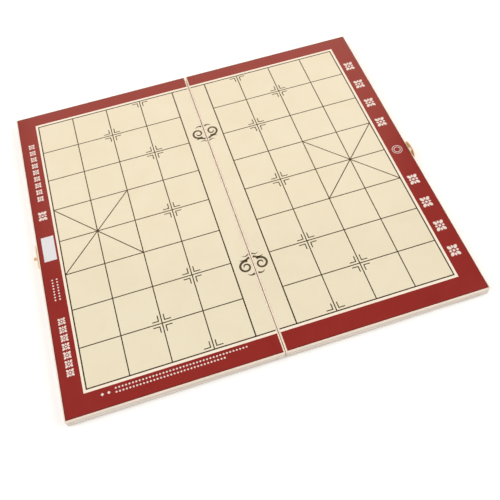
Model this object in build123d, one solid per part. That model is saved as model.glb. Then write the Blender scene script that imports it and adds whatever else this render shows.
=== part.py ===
from build123d import *
import os

# Folding xiangqi (Chinese chess) board box.
#
# Two shallow wooden trays are joined along the river by two small butt hinges. Opened flat, their
# outer faces make the playing board. Folded together, their rims meet, the board is on the outside
# and the men lie between them, held shut by a small flap clasp near the middle of the outer edges.
#
# Frame: millimetres, +Z up with the playing face up, +Y along the fold, +X across it towards the
# tray that carries the clasp's flap. The origin is the middle of the fold on the plane of the rims,
# which is the table when the board lies open. Everything is drawn open flat, which is rest.
#
# The fold turns about +Y: the right tray swings down and under the left one, 180 degrees.
# The clasp's flap turns about +Y too: from folded up against its own plate, out and down.

LEFT, RIGHT = -1, 1        # the tray on the -X side, which holds the catch, and the one on +X
NEAR, FAR = -1, 1          # the ends towards -Y and +Y
OVERCUT = 1.0              # how far a cutting solid runs past the face it cuts through
ON_BASE = (Align.CENTER, Align.CENTER, Align.MIN)

# Trays
BOARD_LENGTH = 350.0       # along the fold
TRAY_WIDTH = 191.5         # across the fold, one tray
SEAM_GAP = 0.7             # between the trays when open flat
TRAY_HEIGHT = 10.0         # rim to the top of the panel
PANEL_THICKNESS = 3.0
WALL_THICKNESS = 8.0
CORNER_RADIUS = 1.5        # upright corners of each tray
PANEL_ROUND = 1.2          # rounding along the panel's upper edge
RIM_CHAMFER = 0.4          # broken edge along the outside of the rims
PRINT_THICKNESS = 0.2      # the printed, laminated playing sheet
PRINT_MARGIN = 1.4         # bare edge left round the sheet

WALL_HEIGHT = TRAY_HEIGHT - PANEL_THICKNESS
LAP_HEIGHT = WALL_HEIGHT / 2
TRAY_CENTRE_X = (SEAM_GAP + TRAY_WIDTH) / 2
OUTER_X = SEAM_GAP / 2 + TRAY_WIDTH

# Corner brads of flat wire with a T head, driven up through each half-lapped corner
BRAD_HEAD = (2.0, 1.2, 0.5)     # across the wire, along it and through the head
BRAD_SHANK = (1.2, 1.0)
BRAD_LENGTH = 5.6
BRAD_SINK = 0.2                 # the head lies this far inside the rim
BRAD_HOLE_CLEARANCE = 0.02

# Butt hinges
HINGE_SPACING = 204.0      # between the middles of the two hinges
HINGE_LENGTH = 25.0
HINGE_SHEET = 0.6
HINGE_REACH = 7.4          # from the axis to a leaf's outer edge
HINGE_AXIS_Z = -0.1        # a little below the rims, so that they clear each other when closed
PIN_RADIUS = 0.5
PIN_END = 0.3              # how far a pin stands out of its knuckles at each end
FIXED_CLEARANCE = 0.01     # round a pin, in the knuckles that hold it
RUNNING_CLEARANCE = 0.05   # round a pin, in the knuckles that turn on it
KNUCKLE_RADIUS = PIN_RADIUS + HINGE_SHEET
KNUCKLE_COUNT = 3          # the outer two on the left leaf, the middle one on the right leaf
KNUCKLE_GAP = 0.2
KNUCKLE_NOTCH = 1.35       # a leaf is cut back this far from the axis beside the other's knuckles
LEAF_CORNER = 1.2
LEAF_NAIL_X = 4.5
LEAF_NAIL_Y = 8.2

KNUCKLE_PITCH = (HINGE_LENGTH + KNUCKLE_GAP) / KNUCKLE_COUNT
KNUCKLE_LENGTH = KNUCKLE_PITCH - KNUCKLE_GAP
RECESS_HEIGHT = HINGE_AXIS_Z + KNUCKLE_NOTCH
RECESS_LENGTH = HINGE_LENGTH + 2 * PIN_END + 2 * KNUCKLE_GAP

# Nails of the hinges and the clasp: a countersunk head let in flush, and a square, tapering shank
NAIL_HEAD_RADIUS = 1.25
NAIL_NECK_RADIUS = 0.8     # under the head
NAIL_HEAD_DEPTH = 0.3
NAIL_SHANK = 0.8           # across the flats
NAIL_TAPER = 2.0           # degrees
NAIL_LENGTH = 5.2
NAIL_HOLE_CLEARANCE = 0.03

# Clasp: a catch with a hooked nose on the left tray, and a hinged flap on the right tray
CLASP_Y = -5.5             # it is nailed on a little nearer than mid-length
CLASP_SHEET = 0.6

CATCH_LENGTH = 27.0        # along the wall
CATCH_HEIGHT = 7.4
CATCH_CENTRE_Z = 5.0
CATCH_PROUD = 1.7          # how far its pressed plate stands out
CATCH_BEVEL = 0.9          # the plate's sloping edge
CATCH_NAIL_Y = 9.0
NOSE_WIDTH = 3.6
NOSE_ROOT = 1.0            # where the nose starts, inside the plate
NOSE_HALF_HEIGHT = 0.9     # there, above and below its own middle
NOSE_BELLY = (3.8, -0.5)   # its section's other points: out from the wall, up from its middle
NOSE_TIP = (5.2, 0.5)
NOSE_CURL = (5.1, 0.85)
NOSE_CREST = (4.8, 1.0)
NOSE_SADDLE = (3.2, 0.7)
NOSE_TIP_ROUND = 1.3       # its tip, seen from above

PIVOT_Z = 2.7              # the flap's pivot above the rim
PIVOT_OUT = 1.65           # and out from the wall
BARREL_LENGTH = 8.0        # the flap's own knuckle, in the middle
SIDE_KNUCKLE = 4.0         # the plate's two knuckles, beside it
FLAP_WIDTH = 20.5          # along the wall, as its fixed plate
FLAP_OUT = 0.8             # the flap's inner face when folded up, out from the wall
FLAP_START = 1.5           # its wings start this far from the pivot, clear of the side knuckles
FLAP_STRAIGHT = 7.3        # its sides are parallel up to here
FLAP_LENGTH = 11.0         # pivot to the crown of its rounded end
FLAP_SHOULDER = 1.2        # rounding where its sides meet the crown
LIP_START = 9.7            # the finger lip bends away from the closed box from here on
LIP_RADIUS = 2.2
SLOT_START = 4.3           # the slot that drops over the nose
SLOT_END = 7.8
SLOT_WIDTH = 5.0
SLOT_CORNER = 0.8
FLAP_PLATE_LOW = 4.1       # the flap's fixed plate, above the rim
FLAP_PLATE_HIGH = 9.1
FLAP_PLATE_CORNER = 1.5
FLAP_NAIL_Y = 7.0
FLAP_NAIL_Z = 5.9

# With the box closed the flap hangs across the rims, so the nose stands where its slot comes to lie
NOSE_Z = (SLOT_START + SLOT_END) / 2 - PIVOT_Z + 2 * HINGE_AXIS_Z


def revolved(*points):
    """A solid of revolution about Z, from (radius, height) points that start and end on the axis."""
    return revolve(Plane.XZ * make_face(Polyline(*points, close=True)), Axis.Z)


def brad():
    """A brad along +Z, its head's face at z = 0."""
    head = Box(*BRAD_HEAD, align=ON_BASE)
    return head + Box(*BRAD_SHANK, BRAD_LENGTH, align=ON_BASE)


def brad_hole():
    """The hole that a brad is driven into: its own shape with clearance, and open at the rim."""
    length, width, thickness = BRAD_HEAD
    gap = 2 * BRAD_HOLE_CLEARANCE
    mouth = Pos(0, 0, -OVERCUT) * Box(length + gap, width + gap, thickness + OVERCUT, align=ON_BASE)
    shaft = Box(*(size + gap for size in BRAD_SHANK), BRAD_LENGTH + gap, align=ON_BASE)
    return mouth + shaft


def nail_head():
    """The conical head of a nail, its face at z = 0."""
    return revolved(
        (0, 0), (NAIL_HEAD_RADIUS, 0), (NAIL_NECK_RADIUS, NAIL_HEAD_DEPTH), (0, NAIL_HEAD_DEPTH)
    )


def nail():
    """A countersunk nail along +Z, its head's face at z = 0."""
    return nail_head() + extrude(Rectangle(NAIL_SHANK, NAIL_SHANK), NAIL_LENGTH, taper=NAIL_TAPER)


def nail_hole():
    """A nail's hole: a seat shaped as its head, and a square shaft with clearance round the shank."""
    side = NAIL_SHANK + 2 * NAIL_HOLE_CLEARANCE
    return nail_head() + Box(side, side, NAIL_LENGTH + NAIL_HOLE_CLEARANCE, align=ON_BASE)


def along_y(radius, length):
    """A round bar along Y, centred on the origin."""
    return Rot(90, 0, 0) * Cylinder(radius, length)


def pin(barrel_length):
    """A hinge pin along Y, standing a little out of its barrel at both ends."""
    return along_y(PIN_RADIUS, barrel_length + 2 * PIN_END)


def corners():
    """The middles of the four half-lapped corners, in a tray's own plane."""
    x = (TRAY_WIDTH - WALL_THICKNESS) / 2
    y = (BOARD_LENGTH - WALL_THICKNESS) / 2
    return [(end_x * x, end_y * y) for end_x in (LEFT, RIGHT) for end_y in (NEAR, FAR)]


def in_tray(side, height=0.0):
    """The place of a tray's own middle, at a height above the rims."""
    return Pos(side * TRAY_CENTRE_X, 0, height)


# ---------------------------------------------------------------- wooden pieces

def panel(side):
    """The top board of a tray, its upper edge rounded over all the way round."""
    board = extrude(RectangleRounded(TRAY_WIDTH, BOARD_LENGTH, CORNER_RADIUS), PANEL_THICKNESS)
    board = fillet(board.edges().group_by(Axis.Z)[-1], PANEL_ROUND)
    return in_tray(side, WALL_HEIGHT) * board


def print_sheet(side):
    """The printed and laminated sheet glued on the panel, inside a bare margin."""
    width, length = TRAY_WIDTH - 2 * PRINT_MARGIN, BOARD_LENGTH - 2 * PRINT_MARGIN
    return in_tray(side, TRAY_HEIGHT) * Box(width, length, PRINT_THICKNESS, align=ON_BASE)


def wall_frame():
    """The four walls of a tray as one ring, before it is parted at the lapped corners."""
    outside = extrude(RectangleRounded(TRAY_WIDTH, BOARD_LENGTH, CORNER_RADIUS), WALL_HEIGHT)
    outside = chamfer(outside.edges().group_by(Axis.Z)[0], RIM_CHAMFER)
    inside = Rectangle(TRAY_WIDTH - 2 * WALL_THICKNESS, BOARD_LENGTH - 2 * WALL_THICKNESS)
    ring = outside - extrude(inside, WALL_HEIGHT)
    for x, y in corners():
        ring -= Pos(x, y, BRAD_SINK) * brad_hole()
    return ring


def long_wall_space(end_x):
    """What a long wall takes of the ring: all its length above the lap, the part between below it."""
    place = Pos(end_x * (TRAY_WIDTH - WALL_THICKNESS) / 2, 0, 0)
    tongue = Box(WALL_THICKNESS, BOARD_LENGTH, WALL_HEIGHT - LAP_HEIGHT, align=ON_BASE)
    between = Box(WALL_THICKNESS, BOARD_LENGTH - 2 * WALL_THICKNESS, LAP_HEIGHT, align=ON_BASE)
    return place * (Pos(0, 0, LAP_HEIGHT) * tongue + between)


def end_wall_space(end_y):
    """What an end wall takes of the ring: all its length below the lap, the part between above it."""
    place = Pos(0, end_y * (BOARD_LENGTH - WALL_THICKNESS) / 2, 0)
    tongue = Box(TRAY_WIDTH, WALL_THICKNESS, LAP_HEIGHT, align=ON_BASE)
    between = Box(TRAY_WIDTH - 2 * WALL_THICKNESS, WALL_THICKNESS, WALL_HEIGHT - LAP_HEIGHT, align=ON_BASE)
    return place * (tongue + Pos(0, 0, LAP_HEIGHT) * between)


def hinge_centres():
    """The places of the two hinges along the fold, by name."""
    return {"near": NEAR * HINGE_SPACING / 2, "far": FAR * HINGE_SPACING / 2}


def hinge_mortise(side):
    """The wood cut away for one hinge: a shallow bed for the leaf and a square channel for the knuckles."""
    bed_width = HINGE_REACH + OVERCUT
    bed = Rectangle(bed_width, HINGE_LENGTH)
    bed = fillet(bed.vertices().group_by(Axis.X)[-1 if side == RIGHT else 0], LEAF_CORNER)
    bed = Pos(side * (HINGE_REACH - bed_width / 2), 0, -OVERCUT) * extrude(bed, HINGE_SHEET + OVERCUT)
    channel = Pos(0, 0, (RECESS_HEIGHT - OVERCUT) / 2) * Box(
        2 * KNUCKLE_NOTCH, RECESS_LENGTH, RECESS_HEIGHT + OVERCUT
    )
    cut = bed + channel
    for end_y in (NEAR, FAR):
        cut += Pos(side * LEAF_NAIL_X, end_y * LEAF_NAIL_Y, 0) * nail_hole()
    return cut


def walls(side):
    """The four strips of a tray by name: outer and hinge walls along Y, near and far end walls along X."""
    ring = wall_frame()
    outer_wall = in_tray(side) * (ring & long_wall_space(side))
    hinge_wall = in_tray(side) * (ring & long_wall_space(-side))
    for centre in hinge_centres().values():
        hinge_wall -= Pos(0, centre, 0) * hinge_mortise(side)
    for place in clasp_nail_places(side):
        outer_wall -= place * nail_hole()
    return {
        "outer_wall": outer_wall,
        "hinge_wall": hinge_wall,
        "near_wall": in_tray(side) * (ring & end_wall_space(NEAR)),
        "far_wall": in_tray(side) * (ring & end_wall_space(FAR)),
    }


def corner_brads(side):
    """The four brads that pin a tray's corners."""
    return [in_tray(side, BRAD_SINK) * Pos(x, y, 0) * brad() for x, y in corners()]


# ---------------------------------------------------------------- hinges

def knuckle_rows(side):
    """The places along the pin of one leaf's rolled knuckles."""
    first = 0 if side == LEFT else 1
    middle = (KNUCKLE_COUNT - 1) / 2
    return [(row - middle) * KNUCKLE_PITCH for row in range(first, KNUCKLE_COUNT, 2)]


def hinge_leaf(side):
    """A leaf let into the rim of a hinge wall: a flat plate with its edge rolled into knuckles."""
    plate = Rectangle(HINGE_REACH - KNUCKLE_NOTCH, HINGE_LENGTH)
    plate = fillet(plate.vertices().group_by(Axis.X)[-1 if side == RIGHT else 0], LEAF_CORNER)
    leaf = Pos(side * (HINGE_REACH + KNUCKLE_NOTCH) / 2, 0, 0) * extrude(plate, HINGE_SHEET)
    neck_width = KNUCKLE_NOTCH + OVERCUT
    for row in knuckle_rows(side):
        neck = Box(neck_width, KNUCKLE_LENGTH, HINGE_SHEET, align=ON_BASE)
        leaf += Pos(side * neck_width / 2, row, 0) * neck
        leaf += Pos(0, row, HINGE_AXIS_Z) * along_y(KNUCKLE_RADIUS, KNUCKLE_LENGTH)
    clearance = FIXED_CLEARANCE if side == LEFT else RUNNING_CLEARANCE
    leaf -= Pos(0, 0, HINGE_AXIS_Z) * along_y(PIN_RADIUS + clearance, HINGE_LENGTH + OVERCUT)
    for end_y in (NEAR, FAR):
        leaf -= Pos(side * LEAF_NAIL_X, end_y * LEAF_NAIL_Y, 0) * nail_hole()
    return leaf


def hinge_nails(side):
    """All the nails that hold one side's two leaves."""
    return [
        Pos(side * LEAF_NAIL_X, centre + end_y * LEAF_NAIL_Y, 0) * nail()
        for centre in hinge_centres().values()
        for end_y in (NEAR, FAR)
    ]


# ---------------------------------------------------------------- clasp

def on_wall(side, height=0.0, out=0.0):
    """A plane on a tray's outer wall behind the clasp: its x runs along Y, its y up and its z outwards."""
    return Plane(origin=(side * (OUTER_X + out), CLASP_Y, height), x_dir=(0, side, 0), z_dir=(side, 0, 0))


def clasp_nail_places(side):
    """The places of the two nails of the catch, or of the flap's plate, pointing into the wall."""
    if side == LEFT:
        y, height, out = CATCH_NAIL_Y, CATCH_CENTRE_Z, CATCH_PROUD
    else:
        y, height, out = FLAP_NAIL_Y, FLAP_NAIL_Z, CLASP_SHEET
    x = side * (OUTER_X + out)
    return [Plane(origin=(x, CLASP_Y + end_y * y, height), z_dir=(-side, 0, 0)) for end_y in (NEAR, FAR)]


def clasp_nails(side):
    """The two nails of the catch, or of the flap's plate."""
    return [place * nail() for place in clasp_nail_places(side)]


def catch_nose():
    """The catch's hooked nose: a duckbill section, curling upwards, trimmed to a rounded tongue."""
    root_low, root_high = (NOSE_ROOT, -NOSE_HALF_HEIGHT), (NOSE_ROOT, NOSE_HALF_HEIGHT)
    underside = ThreePointArc(root_low, NOSE_BELLY, NOSE_TIP)
    curl = ThreePointArc(NOSE_TIP, NOSE_CURL, NOSE_CREST)
    upper_side = ThreePointArc(NOSE_CREST, NOSE_SADDLE, root_high)
    section = make_face([underside, curl, upper_side, Line(root_high, root_low)])
    bill = extrude(Plane.XZ * section, NOSE_WIDTH / 2, both=True)
    reach = NOSE_TIP[0]
    tongue = Pos(reach / 2, 0) * Rectangle(reach, NOSE_WIDTH)
    tongue = fillet(tongue.vertices().group_by(Axis.X)[-1], NOSE_TIP_ROUND)
    bill &= extrude(tongue, CATCH_HEIGHT / 2, both=True)
    return Pos(-OUTER_X, CLASP_Y, NOSE_Z) * Rot(0, 0, 180) * bill


def catch():
    """The catch on the left tray: a pressed, raised plate with the nose that the flap drops over."""
    plate = extrude(SlotOverall(CATCH_LENGTH, CATCH_HEIGHT), CATCH_PROUD)
    plate = chamfer(plate.edges().group_by(Axis.Z)[-1], CATCH_BEVEL)
    plate = on_wall(LEFT, CATCH_CENTRE_Z) * plate + catch_nose()
    for place in clasp_nail_places(LEFT):
        plate -= place * nail_hole()
    return plate


def side_knuckle_rows():
    """The places along the clasp's pin of the two knuckles on the fixed plate."""
    row = BARREL_LENGTH / 2 + KNUCKLE_GAP + SIDE_KNUCKLE / 2
    return [NEAR * row, FAR * row]


def pivot_place():
    """The middle of the clasp's pin."""
    return Pos(OUTER_X + PIVOT_OUT, CLASP_Y, PIVOT_Z)


def flap_plate():
    """The fixed plate of the flap, nailed to the right tray, with two rolled knuckles below it."""
    face = RectangleRounded(FLAP_WIDTH, FLAP_PLATE_HIGH - FLAP_PLATE_LOW, FLAP_PLATE_CORNER)
    plate = on_wall(RIGHT, (FLAP_PLATE_HIGH + FLAP_PLATE_LOW) / 2) * extrude(face, CLASP_SHEET)
    neck = Box(CLASP_SHEET, SIDE_KNUCKLE, FLAP_PLATE_LOW + FLAP_PLATE_CORNER - PIVOT_Z, align=ON_BASE)
    for row in side_knuckle_rows():
        plate += Pos(OUTER_X + CLASP_SHEET / 2, CLASP_Y + row, PIVOT_Z) * neck
        plate += pivot_place() * Pos(0, row, 0) * along_y(KNUCKLE_RADIUS, SIDE_KNUCKLE)
    plate -= pivot_place() * along_y(PIN_RADIUS + FIXED_CLEARANCE, FLAP_WIDTH)
    for place in clasp_nail_places(RIGHT):
        plate -= place * nail_hole()
    return plate


def flap_outline():
    """The flap's outline, x along the wall and y from the pivot: wings, parallel sides, arched end."""
    half = FLAP_WIDTH / 2
    neck = BARREL_LENGTH / 2
    crown = ThreePointArc((half, FLAP_STRAIGHT), (0, FLAP_LENGTH), (-half, FLAP_STRAIGHT))
    sides = Polyline(
        (-half, FLAP_STRAIGHT), (-half, FLAP_START), (-neck, FLAP_START), (-neck, 0),
        (neck, 0), (neck, FLAP_START), (half, FLAP_START), (half, FLAP_STRAIGHT),
    )
    outline = make_face([crown, *sides.edges()])
    wing_corners = [v for v in outline.vertices() if abs(abs(v.X) - half) < CLASP_SHEET]
    outline = fillet(wing_corners, FLAP_SHOULDER)
    slot = Pos(0, (SLOT_START + SLOT_END) / 2) * RectangleRounded(SLOT_WIDTH, SLOT_END - SLOT_START, SLOT_CORNER)
    return outline - slot


def flap():
    """The clasp's flap, folded up: sheet bent into a finger lip, cut to the outline, and its barrel.

    The bent sheet is a section swept along Y. The outline is cut through it from the front.
    """
    inner, outer = FLAP_OUT, FLAP_OUT + CLASP_SHEET
    bend = Pos(inner - LIP_RADIUS, LIP_START) * (Circle(LIP_RADIUS + CLASP_SHEET) - Circle(LIP_RADIUS))
    bend &= Pos(inner - LIP_RADIUS, LIP_START) * Rectangle(
        2 * LIP_RADIUS, 2 * LIP_RADIUS, align=(Align.MIN, Align.MIN)
    )
    straight = Pos(inner, 0) * Rectangle(CLASP_SHEET, LIP_START, align=(Align.MIN, Align.MIN))
    section = Plane.XZ * (straight + bend)
    sheet = Pos(OUTER_X, CLASP_Y, PIVOT_Z) * extrude(section, FLAP_WIDTH, both=True)
    cutter = on_wall(RIGHT, PIVOT_Z, -LIP_RADIUS) * extrude(flap_outline(), LIP_RADIUS + outer + OVERCUT)
    barrel = pivot_place() * along_y(KNUCKLE_RADIUS, BARREL_LENGTH)
    bore = pivot_place() * along_y(PIN_RADIUS + RUNNING_CLEARANCE, FLAP_WIDTH)
    return (sheet & cutter) + barrel - bore


# ---------------------------------------------------------------- the whole box

def nodes():
    """Every piece by node name. A group of like fasteners is a list of separate solids."""
    pieces = {}
    for side, tray in ((LEFT, "left"), (RIGHT, "right")):
        pieces[f"{tray}_panel"] = panel(side)
        pieces[f"{tray}_print_sheet"] = print_sheet(side)
        for name, wall in walls(side).items():
            pieces[f"{tray}_{name}"] = wall
        pieces[f"{tray}_corner_brads"] = corner_brads(side)
        pieces[f"{tray}_hinge_nails"] = hinge_nails(side)
        for name, centre in hinge_centres().items():
            pieces[f"{name}_hinge_{tray}_leaf"] = Pos(0, centre, 0) * hinge_leaf(side)
    for name, centre in hinge_centres().items():
        pieces[f"{name}_hinge_pin"] = Pos(0, centre, HINGE_AXIS_Z) * pin(HINGE_LENGTH)
    clasp_barrel = BARREL_LENGTH + 2 * (KNUCKLE_GAP + SIDE_KNUCKLE)
    pieces["clasp_catch"] = catch()
    pieces["clasp_catch_nails"] = clasp_nails(LEFT)
    pieces["clasp_flap_plate"] = flap_plate()
    pieces["clasp_flap_plate_nails"] = clasp_nails(RIGHT)
    pieces["clasp_pin"] = pivot_place() * pin(clasp_barrel)
    pieces["clasp_flap"] = flap()
    return pieces


os.makedirs("parts", exist_ok=True)
for node, piece in nodes().items():
    solids = [solid for one in (piece if isinstance(piece, list) else [piece]) for solid in one.solids()]
    export_step(solids[0] if len(solids) == 1 else Compound(children=solids), f"parts/{node}.step")
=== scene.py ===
"""The looks of a folding xiangqi board box.

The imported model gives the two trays, their printed sheets, the butt hinges and the clasp. This script prints
the board on the sheets as thin films of ink, and gives every piece its finish.

Lengths are in millimetres in the classes and are turned into metres where a mesh is made. The frame is the
model's own: +Z up with the playing face up, +Y along the fold, +X towards the tray with the clasp's flap.
"""
import logging
from collections.abc import Callable, Sequence
from dataclasses import dataclass
from enum import Enum
from typing import Any

import bpy
import numpy as np
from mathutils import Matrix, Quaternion, Vector


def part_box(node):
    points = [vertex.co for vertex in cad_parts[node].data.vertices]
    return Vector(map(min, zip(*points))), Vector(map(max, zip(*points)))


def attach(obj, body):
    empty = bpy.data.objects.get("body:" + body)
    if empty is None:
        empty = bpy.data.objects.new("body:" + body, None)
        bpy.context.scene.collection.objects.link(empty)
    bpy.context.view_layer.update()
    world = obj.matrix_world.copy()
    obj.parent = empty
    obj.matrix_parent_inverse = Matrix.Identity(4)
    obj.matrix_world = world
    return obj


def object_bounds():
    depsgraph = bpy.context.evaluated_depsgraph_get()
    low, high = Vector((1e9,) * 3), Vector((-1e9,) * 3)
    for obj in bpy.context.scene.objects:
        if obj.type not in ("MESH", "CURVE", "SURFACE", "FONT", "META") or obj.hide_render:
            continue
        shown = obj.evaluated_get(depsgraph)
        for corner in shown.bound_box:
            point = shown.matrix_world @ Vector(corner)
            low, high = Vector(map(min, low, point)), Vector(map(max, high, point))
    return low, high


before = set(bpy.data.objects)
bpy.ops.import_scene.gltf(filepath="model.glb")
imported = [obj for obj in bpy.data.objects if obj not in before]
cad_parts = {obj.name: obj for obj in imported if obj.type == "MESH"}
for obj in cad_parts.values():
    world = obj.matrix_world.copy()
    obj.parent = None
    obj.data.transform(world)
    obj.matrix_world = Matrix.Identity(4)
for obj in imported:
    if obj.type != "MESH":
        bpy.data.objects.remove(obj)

LOG = logging.getLogger("board_box")
CAD_BOX = [list(corner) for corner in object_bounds()]
MM = 0.001

Rgb = tuple[int, int, int]
Span = tuple[float, float]
Point = tuple[float, float]
Place = tuple[float, float, float]
Arrays = tuple[np.ndarray, np.ndarray]        # a solid's points, and its four-sided faces
Node = bpy.types.Node
Socket = bpy.types.NodeSocket


class Side(Enum):
    """The two trays, by the sign of X on their side of the fold."""

    LEFT = -1
    RIGHT = 1

    @property
    def word(self) -> str:
        """The side's name in node names."""
        return self.name.lower()

    @property
    def body(self) -> str:
        """The CAD body that the side's pieces ride on."""
        return f"{self.word}_tray"


class Grain(Enum):
    """Which way the wood's grain runs, as a turn about Z from X in radians."""

    ALONG_X = 0.0
    ALONG_Y = np.pi / 2


def linear(rgb: Rgb) -> tuple[float, float, float, float]:
    """Turns an 8-bit display colour into a linear one, by the sRGB curve.

    Args:
        rgb: Red, green and blue from 0 to 255.

    Returns:
        The linear colour with an alpha of 1.
    """
    share = np.array(rgb) / 255
    low, high = share / 12.92, ((share + 0.055) / 1.055) ** 2.4
    return (*(float(value) for value in np.where(share <= 0.04045, low, high)), 1.0)


# ---------------------------------------------------------------- shader graphs

# A Mix node's colour sockets go by number, because those of its other types have the same names.
MIX_SHARE, MIX_FIRST, MIX_SECOND, MIX_RESULT = 0, 6, 7, 2


class Graph:
    """A node tree while it is being wired."""

    def __init__(self, tree: bpy.types.NodeTree) -> None:
        """Starts from an empty tree."""
        self.tree = tree
        tree.nodes.clear()

    def feed(self, node: Node, inputs: dict[str | int, Any]) -> None:
        """Sets a node's inputs.

        Args:
            node: The node.
            inputs: A value, or a socket to join, for each named or numbered input.
        """
        for name, value in inputs.items():
            if isinstance(value, Socket):
                self.tree.links.new(value, node.inputs[name])
            else:
                node.inputs[name].default_value = value

    def add(self, kind: str, inputs: dict[str | int, Any] | None = None, **settings: Any) -> Node:
        """Adds a node.

        Args:
            kind: The node's type without its ShaderNode prefix.
            inputs: A value, or a socket to join, for each named or numbered input.
            settings: The node's own properties.

        Returns:
            The new node.
        """
        node = self.tree.nodes.new(f"ShaderNode{kind}")
        for name, value in settings.items():
            setattr(node, name, value)
        self.feed(node, inputs or {})
        return node

    def math(self, operation: str, first: Any, second: Any = 0.0) -> Socket:
        """The result of one Math node on two values or sockets."""
        return self.add("Math", {0: first, 1: second}, operation=operation).outputs[0]

    def mix(self, first: Socket, second: Socket, share: float) -> Socket:
        """Two values mixed, with a share from 0 to 1 of the second."""
        return self.math("ADD", self.math("MULTIPLY", first, 1 - share), self.math("MULTIPLY", second, share))

    def blend(self, share: Any, first: Any, second: Any) -> Socket:
        """Two colours mixed, with a share from 0 to 1 of the second."""
        inputs = {MIX_SHARE: share, MIX_FIRST: first, MIX_SECOND: second}
        return self.add("Mix", inputs, data_type="RGBA").outputs[MIX_RESULT]

    def remap(
        self, value: Any, span: tuple[Any, Any], to: Span = (0.0, 1.0), curve: str = "LINEAR"
    ) -> Socket:
        """A value carried along a curve from one range to another, and held inside that one."""
        limits = {"Value": value, "From Min": span[0], "From Max": span[1], "To Min": to[0], "To Max": to[1]}
        return self.add("MapRange", limits, interpolation_type=curve).outputs["Result"]

    def noise(self, vector: Socket, scale: Any, detail: float = 2.0, distortion: float = 0.0) -> Socket:
        """A noise texture's factor, about 0.5 on average, with scale cells to the metre."""
        inputs = {"Vector": vector, "Scale": scale, "Detail": detail, "Distortion": distortion}
        return self.add("TexNoise", inputs).outputs["Fac"]

    def stretched(self, vector: Socket, scale: Place = (1.0, 1.0, 1.0), turn: float = 0.0) -> Socket:
        """A vector turned back about Z and then scaled, so that a pattern runs along one direction."""
        turned = self.add("Mapping", {"Vector": vector, "Rotation": (0.0, 0.0, -turn)}).outputs[0]
        return self.add("Mapping", {"Vector": turned, "Scale": scale}).outputs[0]

    def relief(self, height: Socket, depth: float) -> Socket:
        """The normal of a fine relief, from its height of 0 to 1 and its depth in millimetres."""
        return self.add("Bump", {"Height": height, "Distance": depth * MM, "Strength": 1.0}).outputs["Normal"]

    def place(self) -> Socket:
        """The point on the piece, in metres in the model's frame."""
        return self.add("TexCoord").outputs["Object"]


@dataclass(frozen=True)
class Effect:
    """A shader node group that several finishes share.

    Attributes:
        name: The group's name.
        inputs: Each input's name and the value that it starts with.
        outputs: The names of the outputs, all plain values.
        wire: Fills the group: it takes the graph and the input node and returns a socket for each output.
    """

    name: str
    inputs: dict[str, float]
    outputs: tuple[str, ...]
    wire: Callable[[Graph, Node], dict[str, Socket]]

    def tree(self) -> bpy.types.NodeTree:
        """Finds the node group, or builds it on first use.

        Returns:
            The group's node tree.
        """
        known = bpy.data.node_groups.get(self.name)
        if known:
            return known
        tree = bpy.data.node_groups.new(self.name, "ShaderNodeTree")
        tree.interface.new_socket("Vector", in_out="INPUT", socket_type="NodeSocketVector")
        for name, value in self.inputs.items():
            socket = tree.interface.new_socket(name, in_out="INPUT", socket_type="NodeSocketFloat")
            socket.default_value = value
        for name in self.outputs:
            tree.interface.new_socket(name, in_out="OUTPUT", socket_type="NodeSocketFloat")
        graph = Graph(tree)
        source = tree.nodes.new("NodeGroupInput")
        sink = tree.nodes.new("NodeGroupOutput")
        graph.feed(sink, self.wire(graph, source))
        return tree

    def use(self, graph: Graph, vector: Socket, **values: float) -> bpy.types.NodeOutputs:
        """The group's outputs where a material reads it at a vector, with inputs of its own."""
        return graph.add("Group", {"Vector": vector, **values}, node_tree=self.tree()).outputs


def wire_film(graph: Graph, source: Node) -> dict[str, Socket]:
    """Laminating film: broad handling smudges, the slight orange peel of the glue, and the paper's tooth.

    Args:
        graph: The group's graph.
        source: Its input node.

    Returns:
        The film's roughness, its relief and the print's uneven tone.
    """
    vector = source.outputs["Vector"]
    smudge = graph.noise(vector, scale=16.0, detail=3.0, distortion=0.6)
    peel = graph.noise(vector, scale=210.0, detail=1.0)
    tooth = graph.noise(vector, scale=1500.0)
    tone = graph.noise(vector, scale=34.0, detail=4.0, distortion=0.4)
    spread = graph.math("MULTIPLY", graph.math("SUBTRACT", smudge, 0.5), source.outputs["Smudge"])
    return {
        "Roughness": graph.math("ADD", source.outputs["Roughness"], spread),
        "Height": graph.mix(peel, tooth, share=0.2),
        "Tone": graph.remap(tone, span=(0.3, 0.7)),
    }


def wire_grain(graph: Graph, source: Node) -> dict[str, Socket]:
    """Softwood with its grain along the vector's X: growth bands, fine fibres and short dark pores.

    Args:
        graph: The group's graph.
        source: Its input node.

    Returns:
        The figure of bands and fibres, the pores and the relief.
    """
    vector = source.outputs["Vector"]
    bands = graph.add("TexWave", {
        "Vector": graph.stretched(vector, scale=(0.045, 1.0, 1.0)),
        "Scale": source.outputs["Band Scale"],
        "Distortion": 7.0,
        "Detail": 3.0,
        "Detail Scale": 1.4,
        "Detail Roughness": 0.6,
    }, bands_direction="DIAGONAL").outputs["Fac"]
    late_wood = graph.math("POWER", bands, 1.6)
    long_cells = graph.stretched(vector, scale=(0.02, 1.0, 1.0))
    fibres = graph.noise(long_cells, scale=source.outputs["Fibre Scale"], detail=3.0)
    pores = graph.noise(graph.stretched(vector, scale=(0.06, 1.0, 1.0)), scale=3400.0, detail=1.0)
    return {
        "Figure": graph.mix(late_wood, fibres, share=0.35),
        "Pore": graph.remap(pores, span=(0.64, 0.74)),
        "Height": fibres,
    }


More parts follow.
